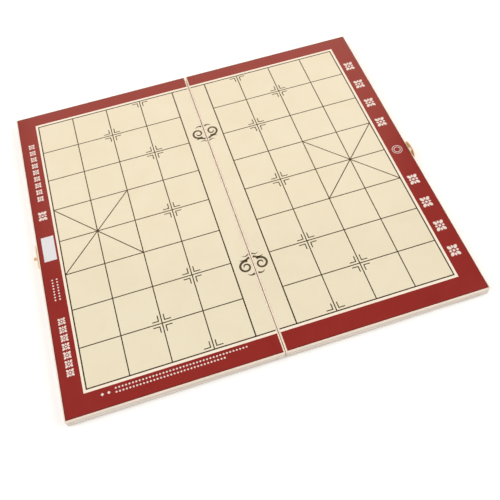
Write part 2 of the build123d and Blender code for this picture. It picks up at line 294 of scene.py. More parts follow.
def wire_handling(graph: Graph, source: Node) -> dict[str, Socket]:
    """Dirt or rubbed patches: a cloudy mask that covers a chosen share of the surface.

    Args:
        graph: The group's graph.
        source: Its input node.

    Returns:
        The mask, from 0 to 1.
    """
    vector = source.outputs["Vector"]
    cloud = graph.noise(vector, scale=source.outputs["Scale"], detail=6.0, distortion=0.8)
    speck = graph.noise(vector, scale=900.0)
    uncovered_start, cover_shift, softness = 0.68, 0.4, 0.22
    shift = graph.math("MULTIPLY", source.outputs["Cover"], cover_shift)
    start = graph.math("SUBTRACT", uncovered_start, shift)
    end = graph.math("ADD", start, softness)
    return {"Mask": graph.remap(graph.mix(cloud, speck, share=0.25), span=(start, end), curve="SMOOTHSTEP")}


def wire_scratches(graph: Graph, source: Node) -> dict[str, Socket]:
    """Rolled and tumbled metal: two sets of hairlines that cross at a slant, over a cloudy tarnish.

    Args:
        graph: The group's graph.
        source: Its input node.

    Returns:
        The hairlines and the tarnish.
    """
    vector = source.outputs["Vector"]
    density = source.outputs["Density"]
    lengthwise = graph.noise(graph.stretched(vector, scale=(1.0, 0.05, 0.3)), scale=density)
    across = graph.noise(graph.stretched(vector, scale=(0.08, 1.0, 1.0), turn=0.6), scale=density)
    cloud = graph.noise(vector, scale=130.0, detail=5.0, distortion=0.5)
    return {
        "Hairline": graph.math("MAXIMUM", lengthwise, across),
        "Tarnish": graph.remap(cloud, span=(0.42, 0.68)),
    }


def wire_seam_face(graph: Graph, source: Node) -> dict[str, Socket]:
    """The faces in the fold: a mask by the distance from the plane x = 0.

    Args:
        graph: The group's graph.
        source: Its input node.

    Returns:
        The mask, which is 1 nearer than Full and 0 further than Reach.
    """
    across = graph.add("SeparateXYZ", {"Vector": source.outputs["Vector"]}).outputs["X"]
    distance = graph.math("ABSOLUTE", across)
    return {"Mask": graph.remap(distance, span=(source.outputs["Reach"], source.outputs["Full"]))}


FILM = Effect(
    "laminating_film", {"Roughness": 0.4, "Smudge": 0.1}, ("Roughness", "Height", "Tone"), wire_film
)
GRAIN = Effect(
    "wood_grain", {"Band Scale": 60.0, "Fibre Scale": 2200.0}, ("Figure", "Pore", "Height"), wire_grain
)
HANDLING = Effect("handling_marks", {"Scale": 40.0, "Cover": 0.3}, ("Mask",), wire_handling)
SEAM_FACE = Effect("seam_face", {"Reach": 0.0011, "Full": 0.0005}, ("Mask",), wire_seam_face)
SCRATCHES = Effect("metal_scratches", {"Density": 1600.0}, ("Hairline", "Tarnish"), wire_scratches)


# ---------------------------------------------------------------- finishes

@dataclass(frozen=True)
class Finish:
    """A named finish. Each kind says how its shader is wired.

    Attributes:
        name: The name of its material.
    """

    name: str

    def material(self) -> bpy.types.Material:
        """Finds the finish's material, or builds it on first use.

        Returns:
            The material.
        """
        known = bpy.data.materials.get(self.name)
        if known:
            return known
        material = bpy.data.materials.new(self.name)
        material.use_nodes = True
        graph = Graph(material.node_tree)
        shader = graph.add("BsdfPrincipled")
        self.wire(graph, shader)
        graph.add("OutputMaterial", {"Surface": shader.outputs["BSDF"]})
        return material

    def wire(self, graph: Graph, shader: Node) -> None:
        """Feeds the shader. Each kind of finish has its own way."""
        raise NotImplementedError


@dataclass(frozen=True)
class FilmedInk(Finish):
    """Ink or bare paper under glossy laminating film.

    Attributes:
        colour: The ink's colour.
        thin_colour: Its colour where the print is a little thinner.
        roughness: The print's own roughness, under the film.
        smudge: How far smudges change that roughness.
        under_gloss: How much of the print's own gloss shows.
        coat: How much of the clear film's gloss shows.
        coat_roughness: The clear film's roughness.
        depth: The depth of the film's relief.
    """

    colour: Rgb
    thin_colour: Rgb
    roughness: float = 0.42
    smudge: float = 0.12
    under_gloss: float = 0.1
    coat: float = 1.0
    coat_roughness: float = 0.16
    depth: float = 0.006

    def wire(self, graph: Graph, shader: Node) -> None:
        """Mixes the two colours by the film's tone, and gives the film its gloss and its relief.

        Args:
            graph: The material's graph.
            shader: Its shader.
        """
        film = FILM.use(graph, graph.place(), Roughness=self.roughness, Smudge=self.smudge)
        graph.feed(shader, {
            "Base Color": graph.blend(film["Tone"], linear(self.colour), linear(self.thin_colour)),
            "Roughness": film["Roughness"],
            "Specular IOR Level": self.under_gloss,
            "Coat Weight": self.coat,
            "Coat Roughness": self.coat_roughness,
            "Normal": graph.relief(film["Height"], self.depth),
        })


@dataclass(frozen=True)
class BoardEdge(Finish):
    """The panel: white-primed on top and round its edge, bare brown hardboard underneath.

    Attributes:
        primer: The white primer's colour on the rounded edge.
        side_shade_and_grime: Its colour on the upright sides: painted shade, made patchy by the handling
            marks.
        fold_painted_light: Its colour in the fold, brighter than the primer: painted light that lightens the
            shade in the gap.
        hardboard: The bare board's colour.
        fibre: The colour of the board's darker fibres.
        bare_below: The height below which the board is bare.
        bare_fade: The height over which the primer begins.
        sides_below: The height below which the upright sides begin.
        sides_fade: The height over which the sides' painted shade fades out.
        edge_shade_share: How much of the sides' painted shade is left above that.
        least_rub: How much of the painted shade the cleanest patches have.
        roughness: The roughness of bare board and of primer.
        depth: The depth of the fibres' relief.
    """

    primer: Rgb
    side_shade_and_grime: Rgb
    fold_painted_light: Rgb
    hardboard: Rgb
    fibre: Rgb
    bare_below: float = 7.05
    bare_fade: float = 0.1
    sides_below: float = 8.9
    sides_fade: float = 0.3
    edge_shade_share: float = 0.3
    least_rub: float = 0.7
    roughness: Span = (0.8, 0.5)
    depth: float = 0.03

    def primed(self, graph: Graph, place: Socket, height: Socket) -> Socket:
        """The primer, with painted shade on the upright sides and painted light in the fold.

        Args:
            graph: The material's graph.
            place: The point on the piece.
            height: Its height.

        Returns:
            The primer's colour.
        """
        rub = HANDLING.use(graph, place, Scale=55.0, Cover=0.35)["Mask"]
        # Painted shade: the upright sides darker than the rounded top edge, made patchy by the handling marks.
        fade = ((self.sides_below + self.sides_fade) * MM, self.sides_below * MM)
        side = graph.remap(height, span=fade, to=(self.edge_shade_share, 1.0))
        shade_and_grime = graph.math("MULTIPLY", side, graph.remap(rub, span=(0.0, 1.0), to=(self.least_rub, 1.0)))
        open_face = graph.blend(shade_and_grime, linear(self.primer), linear(self.side_shade_and_grime))
        # Painted light: a brighter primer on the faces in the fold lightens the shade in the gap.
        return graph.blend(SEAM_FACE.use(graph, place)["Mask"], open_face, linear(self.fold_painted_light))

    def wire(self, graph: Graph, shader: Node) -> None:
        """Puts primer on hardboard from a height up, and gives both the fibres' relief.

        Args:
            graph: The material's graph.
            shader: Its shader.
        """
        place = graph.place()
        height = graph.add("SeparateXYZ", {"Vector": place}).outputs["Z"]
        fibres = graph.noise(place, scale=1100.0, detail=4.0, distortion=1.5)
        strands = graph.remap(fibres, span=(0.35, 0.65))
        board = graph.blend(strands, linear(self.hardboard), linear(self.fibre))
        cover = graph.remap(height, span=(self.bare_below * MM, (self.bare_below + self.bare_fade) * MM))
        graph.feed(shader, {
            "Base Color": graph.blend(cover, board, self.primed(graph, place, height)),
            "Roughness": graph.remap(cover, span=(0.0, 1.0), to=self.roughness),
            "Normal": graph.relief(fibres, self.depth),
        })


@dataclass(frozen=True)
class PaleWood(Finish):
    """Planed softwood strip, thinly whitewashed.

    Attributes:
        grain: Which way the grain runs.
        early: The colour of the pale growth.
        late: The colour of the darker bands.
        soiled: The colour of handled patches and of pores.
        pore_share: How much of that colour the pores show.
        soil_share: How much of it the handled patches show.
        roughness: The roughness of pale and of dark growth.
        depth: The depth of the grain's relief.
    """

    grain: Grain
    early: Rgb
    late: Rgb
    soiled: Rgb
    pore_share: float = 0.35
    soil_share: float = 0.3
    roughness: Span = (0.72, 0.55)
    depth: float = 0.05

    def colour(self, graph: Graph, place: Socket, wood: bpy.types.NodeOutputs) -> Socket:
        """Pale and dark growth mixed by the grain, with darker pores and soiled patches.

        Args:
            graph: The material's graph.
            place: The point on the piece.
            wood: The outputs of the grain.

        Returns:
            The wood's colour.
        """
        growth = graph.blend(wood["Figure"], linear(self.early), linear(self.late))
        pores = graph.math("MULTIPLY", wood["Pore"], self.pore_share)
        porous = graph.blend(pores, growth, linear(self.soiled))
        soil = HANDLING.use(graph, place, Scale=28.0, Cover=0.3)["Mask"]
        return graph.blend(graph.math("MULTIPLY", soil, self.soil_share), porous, linear(self.soiled))

    def wire(self, graph: Graph, shader: Node) -> None:
        """Gives the shader the wood's colour, a sheen that follows the growth, and a fine relief.

        Args:
            graph: The material's graph.
            shader: Its shader.
        """
        place = graph.place()
        wood = GRAIN.use(graph, graph.stretched(place, turn=self.grain.value))
        graph.feed(shader, {
            "Base Color": self.colour(graph, place, wood),
            "Roughness": graph.remap(wood["Figure"], span=(0.0, 1.0), to=self.roughness),
            "Normal": graph.relief(wood["Height"], self.depth),
        })


@dataclass(frozen=True)
class SeamWood(PaleWood):
    """The same wood with white primer on the face that meets the other tray: partly real primer, partly
    painted light that lightens the shade in the gap.

    Attributes:
        primer: The primer's colour, made extra white as painted light in the gap.
        cover: How much of the wood it hides.
    """

    primer: Rgb = (255, 246, 236)
    cover: float = 0.97

    def colour(self, graph: Graph, place: Socket, wood: bpy.types.NodeOutputs) -> Socket:
        """The wood's colour, under primer on the face in the fold, whose extra whiteness is painted light.

        Args:
            graph: The material's graph.
            place: The point on the piece.
            wood: The outputs of the grain.

        Returns:
            The wood's colour.
        """
        bare = super().colour(graph, place, wood)
        # Painted light: the extra-white primer on the fold face lightens the shade in the gap.
        primed = graph.math("MULTIPLY", SEAM_FACE.use(graph, place)["Mask"], self.cover)
        return graph.blend(primed, bare, linear(self.primer))


@dataclass(frozen=True)
class SheetMetal(Finish):
    """Plated or solid sheet metal with hairlines and a little tarnish.

    Attributes:
        bright: The clean metal's colour.
        dull: The tarnished metal's colour.
        roughness: The clean metal's roughness.
        tarnish_share: How much of the dull colour the tarnish shows.
        tarnish_roughness: How much rougher the tarnish is.
        line_roughness: How much rougher the hairlines are.
        depth: The depth of the hairlines' relief.
    """

    bright: Rgb
    dull: Rgb
    roughness: float
    tarnish_share: float = 0.7
    tarnish_roughness: float = 0.16
    line_roughness: float = 0.12
    depth: float = 0.01

    def wire(self, graph: Graph, shader: Node) -> None:
        """Mixes bright and dull metal by the tarnish, and roughens it along the hairlines.

        Args:
            graph: The material's graph.
            shader: Its shader.
        """
        marks = SCRATCHES.use(graph, graph.place())
        tarnish = graph.math("MULTIPLY", marks["Tarnish"], self.tarnish_share)
        worn = graph.math("MULTIPLY", marks["Tarnish"], self.tarnish_roughness)
        line = graph.remap(marks["Hairline"], span=(0.55, 0.75), to=(0.0, self.line_roughness))
        graph.feed(shader, {
            "Base Color": graph.blend(tarnish, linear(self.bright), linear(self.dull)),
            "Metallic": 1.0,
            "Roughness": graph.math("ADD", graph.math("ADD", worn, line), self.roughness),
            "Normal": graph.relief(marks["Hairline"], self.depth),
        })


@dataclass(frozen=True)
class FloorPaint(Finish):
    """Matt white floor paint that looks lit through, so that it stays white where no shadow falls.

    Attributes:
        colour: The paint's colour.
        roughness: Its roughness.
        gloss: How much gloss it has.
        glow: The light that it adds round the box, where it is seen straight, in gloss or through glass.
        near: How far from the box that glow reaches, in metres.
        far: Where it has grown to full white.
    """

    colour: Rgb = (246, 245, 243)
    roughness: float = 0.9
    gloss: float = 0.2
    glow: float = 0.22
    near: float = 0.6
    far: float = 1.8

    def wire(self, graph: Graph, shader: Node) -> None:
        """A plain matt colour, with a glow on top that grows with the distance from the box.

        Args:
            graph: The material's graph.
            shader: Its shader.
        """
        rays = graph.add("LightPath").outputs
        seen = graph.math("MAXIMUM", rays["Is Camera Ray"], rays["Is Glossy Ray"])
        seen = graph.math("MAXIMUM", seen, rays["Is Transmission Ray"])
        distance = graph.add("VectorMath", {0: graph.place()}, operation="LENGTH").outputs["Value"]
        glow = graph.remap(distance, span=(self.near, self.far), to=(self.glow, 1.0))
        graph.feed(shader, {
            "Base Color": linear(self.colour),
            "Roughness": self.roughness,
            "Specular IOR Level": self.gloss,
            "Emission Color": (1.0, 1.0, 1.0, 1.0),
            "Emission Strength": graph.math("MULTIPLY", seen, glow),
        })


PAPER = FilmedInk("cream_paper", (241, 231, 203), (238, 227, 197))
PALE = FilmedInk("pale_paper", (253, 241, 222), (250, 237, 216))
WHITE = FilmedInk("white_ink", (243, 228, 218), (236, 217, 206))
LABEL = FilmedInk("white_label", (234, 234, 236), (226, 226, 229))
RED = FilmedInk("red_ink", (144, 33, 27), (149, 39, 31))
# Painted shade: a darker red for the sheet's outer edges, standing for the film rolling down over the edge.
RED_EDGE_SHADE = FilmedInk("dark_red_rim", (104, 26, 26), (112, 30, 29))
BLACK = FilmedInk("brown_black_ink", (54, 40, 12), (60, 46, 18))
BRUSH = FilmedInk("brush_ink", (84, 71, 50), (92, 79, 58))
EDGE = BoardEdge(
    "primed_hardboard",
    primer=(245, 226, 208),
    # Painted shade on the upright sides, made patchy by the handling marks.
    side_shade_and_grime=(216, 204, 193),
    # Painted light in the fold, which lightens the shade in the gap.
    fold_painted_light=(255, 242, 219),
    hardboard=(168, 128, 88),
    fibre=(126, 92, 60),
)
WOOD_COLOURS = ((229, 219, 208), (211, 195, 179), (178, 160, 143))
END_WALL_WOOD = PaleWood("softwood_along_x", Grain.ALONG_X, *WOOD_COLOURS)
LONG_WALL_WOOD = PaleWood("softwood_along_y", Grain.ALONG_Y, *WOOD_COLOURS)
# Its primer in the fold is partly painted light, which lightens the shade in the gap.
HINGE_WALL_WOOD = SeamWood("softwood_primed_in_fold", Grain.ALONG_Y, *WOOD_COLOURS)
BRASS = SheetMetal("clasp_brass", (248, 222, 184), (218, 186, 146), 0.42)
STEEL = SheetMetal("brad_steel", (198, 198, 200), (140, 138, 136), 0.32)


# ---------------------------------------------------------------- inks as thin solids

# Two edges are one where they agree to this many decimals of a millimetre.
SAME_EDGE = 4


@dataclass(frozen=True)
class Film:
    """The height of one layer of print.

    Attributes:
        base: The plane that it lies on.
        thickness: How far it stands above that plane.
    """

    base: float
    thickness: float

    @property
    def top(self) -> float:
        """The layer's upper face."""
        return self.base + self.thickness


def make_piece(name: str, points: np.ndarray, faces: np.ndarray, finish: Finish) -> bpy.types.Object:
    """Turns arrays into an object at the origin.

    Args:
        name: The piece's name.
        points: Its corners in millimetres, one row each.
        faces: Its four-sided faces, as rows of corner numbers.
        finish: What it is made of.

    Returns:
        The new object, linked to the scene.
    """
    used, numbers = np.unique(faces, return_inverse=True)
    mesh = bpy.data.meshes.new(name)
    mesh.from_pydata((points[used] * MM).tolist(), [], numbers.reshape(faces.shape).tolist())
    mesh.materials.append(finish.material())
    mesh.update()
    piece = bpy.data.objects.new(name, mesh)
    bpy.context.scene.collection.objects.link(piece)
    return piece


def block_print(rectangles: np.ndarray, film: Film) -> Arrays:
    """A flat print made of upright rectangles, as one closed solid without overlaps.

    The edges of all rectangles cut the plane into a grid of cells. A cell is inked if a rectangle covers it.
    Each inked cell gets a top and a bottom, and a side wall wherever the next cell is bare.

    Args:
        rectangles: Rows of low x, high x, low y and high y.
        film: The print's height.

    Returns:
        Points and four-sided faces.
    """
    xs = np.unique(rectangles[:, :2].round(SAME_EDGE))
    ys = np.unique(rectangles[:, 2:].round(SAME_EDGE))
    middle_x, middle_y = (xs[1:] + xs[:-1]) / 2, (ys[1:] + ys[:-1]) / 2
    inside_x = (rectangles[:, None, 0] < middle_x) & (middle_x < rectangles[:, None, 1])
    inside_y = (rectangles[:, None, 2] < middle_y) & (middle_y < rectangles[:, None, 3])
    inked = np.pad(np.einsum("ri,rj->ij", inside_x.astype(int), inside_y.astype(int)) > 0, 1)
    grid_x, grid_y, grid_z = np.meshgrid(xs, ys, [film.base, film.top], indexing="ij")
    points = np.stack([grid_x, grid_y, grid_z], -1).reshape(-1, 3)

    def corner(i: np.ndarray, j: np.ndarray, level: int) -> np.ndarray:
        """The number of the grid point i, j at a level."""
        return (i * len(ys) + j) * 2 + level

    i, j = np.nonzero(inked[1:-1, 1:-1])
    bottom, top = ((0, 0), (0, 1), (1, 1), (1, 0)), ((0, 0), (1, 0), (1, 1), (0, 1))
    faces = [
        np.stack([corner(i + a, j + b, level) for a, b in ring], -1)
        for level, ring in enumerate((bottom, top))
    ]
    # Each side of a cell: the step to the next cell, and the side's two corners.
    cell_sides = (
        ((-1, 0), (0, 1), (0, 0)),
        ((1, 0), (1, 0), (1, 1)),
        ((0, -1), (0, 0), (1, 0)),
        ((0, 1), (1, 1), (0, 1)),
    )
    for step, first, second in cell_sides:
        bare = ~inked[i + 1 + step[0], j + 1 + step[1]]
        edge_i, edge_j = i[bare], j[bare]
        lower = [corner(edge_i + a, edge_j + b, 0) for a, b in (first, second)]
        upper = [corner(edge_i + a, edge_j + b, 1) for a, b in (second, first)]
        faces.append(np.stack(lower + upper, -1))
    return points, np.vstack(faces)


def flat_strip(left: np.ndarray, right: np.ndarray, film: Film, closed: bool = False) -> Arrays:
    """A flat solid between two edges, with upright sides.

    Station s has four corners, numbered from 4 s: the left edge on the film's lower and upper face, then the
    right edge on its upper and lower face. Four faces join each station to the next one.

    Args:
        left: The left edge, rows of x and y.
        right: The right edge, in as many rows.
        film: The strip's height.
        closed: Whether its last station joins its first. Otherwise both ends are capped.

    Returns:
        Points and four-sided faces.
    """
    section = [(left, film.base), (left, film.top), (right, film.top), (right, film.base)]
    rails = [np.column_stack([edge, np.full(len(edge), height)]) for edge, height in section]
    points = np.stack(rails, 1).reshape(-1, 3)
    stations, corners = len(left), len(section)
    s, t = np.meshgrid(np.arange(stations if closed else stations - 1), np.arange(corners), indexing="ij")
    here, there, after = corners * s, corners * ((s + 1) % stations), (t + 1) % corners
    sides = np.stack([here + t, here + after, there + after, there + t], -1).reshape(-1, corners)
    if closed:
        return points, sides
    near_cap = np.arange(corners)[::-1]
    far_cap = corners * (stations - 1) + np.arange(corners)
    return points, np.vstack([sides, near_cap, far_cap])


def brush_stroke(path: np.ndarray, half_width: np.ndarray, film: Film) -> Arrays:
    """A flat stroke, with edges at path(s) plus and minus half_width(s) times the path's normal.

    Args:
        path: The stroke's middle line, rows of x and y.
        half_width: Half of its width at each point.
        film: The stroke's height.

    Returns:
        Points and four-sided faces.
    """
    along = np.gradient(path, axis=0)
    along /= np.linalg.norm(along, axis=1, keepdims=True)
    normal = np.stack([-along[:, 1], along[:, 0]], -1) * half_width[:, None]
    return flat_strip(path + normal, path - normal, film)


def ring_print(centre: np.ndarray, inner: float, outer: float, film: Film, steps: int = 48) -> Arrays:
    """A flat ring, with edges at centre + radius * (cos a, sin a) for an angle a that turns once.

    Args:
        centre: The ring's middle.
        inner: Its inner radius.
        outer: Its outer radius.
        film: The ring's height.
        steps: How many sections it has.

    Returns:
        Points and four-sided faces.
    """
    turn = np.linspace(0, 2 * np.pi, steps, endpoint=False)
    direction = np.stack([np.cos(turn), np.sin(turn)], -1)
    return flat_strip(centre + inner * direction, centre + outer * direction, film, closed=True)


def joined(parts: Sequence[Arrays]) -> Arrays:
    """Several solids as one set of arrays, with each one's faces renumbered past the ones before it.

    Args:
        parts: The solids.

    Returns:
        Points and four-sided faces.
    """
    offsets = np.cumsum([0] + [len(points) for points, _ in parts[:-1]])
    faces = [faces + offset for (_, faces), offset in zip(parts, offsets)]
    return np.vstack([points for points, _ in parts]), np.vstack(faces)


# ---------------------------------------------------------------- ornaments

@dataclass(frozen=True)
class OrnamentRow:
    """Equal ornaments at equal steps.

    Attributes:
        start: The first one's middle.
        step: From each one to the next.
        count: How many there are.
        size: Their width and height.
    """

    start: Point
    step: Point
    count: int
    size: Point

    def places(self) -> np.ndarray:
        """The middle of each ornament, in rows of x and y."""
        return np.array(self.start) + np.arange(self.count)[:, None] * np.array(self.step)


@dataclass(frozen=True)
class Petal:
    """The shape of a petal, in shares of its flower's half size.

    Attributes:
        start: Where it starts, from the flower's middle.
        end: Where it ends.
        half_width: Its greatest half width.
    """

    start: float
    end: float
    half_width: float


@dataclass
class Floret:
    """A four-petalled flower in a square, as printed ornament.

    Attributes:
        centre: Its middle.
        size: Its width and height.
        film: Its height.
        petal: Its corner petals.
        leaf: Its side leaves.
        heart: The radius of its heart, as a share of its smaller half size.
        pinhole: The radius of the hole in the heart.
        tip: The share of a petal's greatest width that its ends have.
        steps: How many stations a petal has.
        heart_steps: How many sections the heart has.
    """

    centre: np.ndarray
    size: Point
    film: Film
    petal: Petal = Petal(0.42, 1.34, 0.31)
    leaf: Petal = Petal(0.44, 1.0, 0.2)
    heart: float = 0.27
    pinhole: float = 0.02
    tip: float = 0.08
    steps: int = 9
    heart_steps: int = 16

    def stroke(self, shape: Petal, turn: float) -> Arrays:
        """One petal: a straight stroke whose half width is the shape's times the root of sin(pi t).

        Args:
            shape: The petal's shape.
            turn: Its direction.

        Returns:
            Points and faces.
        """
        t = np.linspace(0, 1, self.steps)
        half = np.array(self.size) / 2
        direction = np.array([np.cos(turn), np.sin(turn)])
        out = np.linspace(shape.start, shape.end, self.steps)
        path = self.centre + out[:, None] * direction * half
        swell = np.maximum(np.sqrt(np.sin(np.pi * t)), self.tip)
        return brush_stroke(path, shape.half_width * half.mean() * swell, self.film)

    def arrays(self) -> Arrays:
        """The flower's four corner petals, four side leaves and round heart.

        Returns:
            Points and faces.
        """
        quarters = np.arange(4) * np.pi / 2
        petals = [self.stroke(self.petal, turn + np.pi / 4) for turn in quarters]
        leaves = [self.stroke(self.leaf, turn) for turn in quarters]
        radius = self.heart * min(self.size) / 2
        heart = ring_print(self.centre, self.pinhole, radius, self.film, self.heart_steps)
        return joined([*petals, *leaves, heart])


@dataclass
class Lozenge:
    """A small lozenge, as printed ornament.

    Attributes:
        centre: Its middle.
        size: Its width and height.
        film: Its height.
        tip: The least half width, at its two ends.
    """

    centre: np.ndarray
    size: Point
    film: Film
    tip: float = 0.03

    def arrays(self) -> Arrays:
        """The lozenge as a level stroke that swells evenly to its middle and back.

        Returns:
            Points and faces.
        """
        half_x, half_y = np.array(self.size) / 2
        t = np.linspace(-1, 1, 3)
        path = self.centre + np.stack([t * half_x, 0 * t], -1)
        return brush_stroke(path, np.maximum(half_y * (1 - np.abs(t)), self.tip), self.film)


# ---------------------------------------------------------------- the printed board

# Ranks, the lines along the fold, are numbered from the river's bank. Files, the lines across it, are
# numbered both ways from the middle one. A crossing is given by its rank and its file.
LAST_RANK, LAST_FILE = 4, 4
PALACE_RANK, PALACE_FILE = 2, 1
CANNONS = ((2, -3), (2, 3))
SOLDIERS = tuple((1, number) for number in range(-LAST_FILE, LAST_FILE + 1, 2))


@dataclass
class PrintedBoard:
    """The print on one tray's sheet.

    Half of the board is on each tray: a grid of four by eight squares from the river's bank to the outer
    line, a heavy line round it, a pale band and a wide red border with ornaments. The lines are placed by
    their numbers, and the ornaments in the model's own frame.

    Attributes:
        side: The tray.
        bank: From the fold to the river's bank.
        band_outside: From the outer line to the red at the tray's outer edge.
        flowers: The rows of flowers in the red border.
        square: The grid's pitch along the fold.
        rank: The grid's pitch across the fold.
        drift: How far the middle of the grid lies from the middle of the tray.
        thin_line: The width of the grid's lines.
        bank_line: The width of the river's bank.
        heavy_line: The width of the line round the grid.
        mark_line: The width of the starting marks' ticks.
        mark_gap: From a grid line to a tick beside it.
        mark_arm: The length of a tick's arm.
        band_ends: From the outer line to the red at the tray's ends.
        rim: The width of the darker line along the sheet's outer edges, painted shade where the film rolls
            down over the edge.
        ink: The thickness of a layer of print.
        crossing_ink: The thickness of the palace's lines, a little less because they cross the grid's.
    """

    side: Side
    bank: float
    band_outside: float
    flowers: tuple[OrnamentRow, ...]
    square: float = 38.5
    rank: float = 37.4
    drift: float = 1.8
    thin_line: float = 0.98
    bank_line: float = 1.2
    heavy_line: float = 1.2
    mark_line: float = 0.95
    mark_gap: float = 2.8
    mark_arm: float = 5.4
    band_ends: float = 3.1
    rim: float = 0.8
    ink: float = 0.03
    crossing_ink: float = 0.024

    def __post_init__(self) -> None:
        """Reads the sheet's place from the frame."""
        low, high = (np.array(corner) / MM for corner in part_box(f"{self.side.word}_print_sheet"))
        self.seam_x, self.outer_x = sorted((float(low[0]), float(high[0])), key=abs)
        self.near_y, self.far_y = float(low[1]), float(high[1])
        self.film = Film(float(high[2]), self.ink)
        self.overprint = Film(self.film.top, self.ink)

    # places

    def rank_x(self, number: int) -> float:
        """The x of a grid line along the fold, counted from the bank, which is 0."""
        return self.side.value * (self.bank + number * self.rank)

    def file_y(self, number: int) -> float:
        """The y of a grid line across the fold, counted from the middle one, which is 0."""
        return self.drift + number * self.square

    @staticmethod
    def rectangle(x: Span, y: Span) -> list[float]:
        """A rectangle from any two x and any two y, in the order that block_print takes."""
        return [min(x), max(x), min(y), max(y)]

    def line(self, start: Point, end: Point, width: float) -> list[float]:
        """An upright or level line as a rectangle, half a width longer at both ends.

        Args:
            start: One end of the line.
            end: Its other end.
            width: Its width.

        Returns:
            The rectangle, in the order that block_print takes.
        """
        half = width / 2
        return self.rectangle(
            (min(start[0], end[0]) - half, max(start[0], end[0]) + half),
            (min(start[1], end[1]) - half, max(start[1], end[1]) + half),
        )

    def bracket(self, inside: Place, outside: Place) -> np.ndarray:
        """The three-sided band between two nested outlines that are both open at the fold.

        Args:
            inside: The inner outline's outer x, near y and far y.
            outside: The outer outline's outer x, near y and far y.

        Returns:
            Its three rectangles.
        """
        return np.array([
            self.rectangle((inside[0], outside[0]), (outside[1], outside[2])),
            self.rectangle((self.seam_x, outside[0]), (outside[1], inside[1])),
            self.rectangle((self.seam_x, outside[0]), (inside[2], outside[2])),
        ])

    def outline(self, spread: float, outside: float | None = None) -> Place:
        """The grid's outer x, near y and far y, each moved out by a spread, or the first by another one."""
        outer = self.rank_x(LAST_RANK) + self.side.value * (spread if outside is None else outside)
        return outer, self.file_y(-LAST_FILE) - spread, self.file_y(LAST_FILE) + spread

    # pieces

    def add(self, name: str, arrays: Arrays, finish: Finish) -> None:
        """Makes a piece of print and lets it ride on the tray.

        Args:
            name: The piece's name after the tray's.
            arrays: Its points and faces.
            finish: Its finish.
        """
        piece = make_piece(f"{self.side.word}_{name}", *arrays, finish)
        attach(piece, self.side.body)
        LOG.info("%s: %d faces", piece.name, len(piece.data.polygons))

    def make_border(self) -> None:
        """The heavy line round the grid, the pale band outside it and the red border, with a darker line of
        painted shade along the sheet's outer edges.
        """
        line_inside, line_outside = self.outline(-self.heavy_line / 2), self.outline(self.heavy_line / 2)
        red_edge = self.outline(self.band_ends, self.band_outside)
        # The rim is painted shade: a darker red strip along the sheet's outer edges.
        rim_x = self.outer_x - self.side.value * self.rim
        rim_inside = (rim_x, self.near_y + self.rim, self.far_y - self.rim)
        sheet_edge = (self.outer_x, self.near_y, self.far_y)
        bands = (
            ("border_line", line_inside, line_outside, BLACK),
            ("pale_band", line_outside, red_edge, PALE),
            ("red_border", red_edge, rim_inside, RED),
            ("red_rim", rim_inside, sheet_edge, RED_EDGE_SHADE),
        )
        for name, inside, outside, finish in bands:
            self.add(name, block_print(self.bracket(inside, outside), self.film), finish)

    def make_grid(self) -> None:
        """The lines inside the heavy one: the bank and three more along the fold, and seven across it."""
        inner = self.heavy_line / 2
        near, far = self.file_y(-LAST_FILE) + inner, self.file_y(LAST_FILE) - inner
        widths = [self.bank_line] + [self.thin_line] * (LAST_RANK - 1)
        along = [
            self.line((self.rank_x(number), near), (self.rank_x(number), far), width)
            for number, width in enumerate(widths)
        ]
        end = self.rank_x(LAST_RANK) - self.side.value * inner
        across = [
            self.line((self.rank_x(0), self.file_y(number)), (end, self.file_y(number)), self.thin_line)
            for number in range(1 - LAST_FILE, LAST_FILE)
        ]
        self.add("grid_lines", block_print(np.array(along + across), self.film), BLACK)

    def make_palace(self) -> None:
        """The palace's two diagonals, across the four middle squares next to the outer line."""
        film = Film(self.film.base, self.crossing_ink)
        strokes = []
        for file in (-PALACE_FILE, PALACE_FILE):
            start = (self.rank_x(PALACE_RANK), self.file_y(-file))
            end = (self.rank_x(LAST_RANK), self.file_y(file))
            path = np.linspace(start, end, 3)
            strokes.append(brush_stroke(path, np.full(len(path), self.thin_line / 2), film))
        self.add("palace_lines", joined(strokes), BLACK)

    def tick(self, x: float, y: float, toward_x: int, toward_y: int) -> list[list[float]]:
        """One corner tick beside a crossing.

        Args:
            x: The crossing's x.
            y: The crossing's y.
            toward_x: The side of the crossing in x, 1 or -1.
            toward_y: Its side in y.

        Returns:
            The rectangles of the tick's two arms.
        """
        near_x, near_y = x + toward_x * self.mark_gap, y + toward_y * self.mark_gap
        far_x, far_y = near_x + toward_x * self.mark_arm, near_y + toward_y * self.mark_arm
        ends = ((far_x, near_y), (near_x, far_y))
        return [self.line((near_x, near_y), end, self.mark_line) for end in ends]

    def make_marks(self) -> None:
        """The corner ticks at the starting points of the cannons and the soldiers, inside the outer lines."""
        arms = [
            arm
            for rank, file in CANNONS + SOLDIERS
            for toward_y in (-1, 1) if abs(file + toward_y) <= LAST_FILE
            for toward_x in (-1, 1)
            for arm in self.tick(self.rank_x(rank), self.file_y(file), toward_x, toward_y)
        ]
        self.add("starting_marks", block_print(np.array(arms), self.film), BLACK)

    def ornaments(self, kind: type[Floret] | type[Lozenge], rows: tuple[OrnamentRow, ...]) -> Arrays:
        """Rows of ornaments of one kind, to be printed over another ink."""
        shapes = [kind(place, row.size, self.overprint) for row in rows for place in row.places()]
        return joined([shape.arrays() for shape in shapes])

    def make_ornaments(self) -> None:
        """The white flowers over the red border."""
        self.add("column_flowers", self.ornaments(Floret, self.flowers), WHITE)


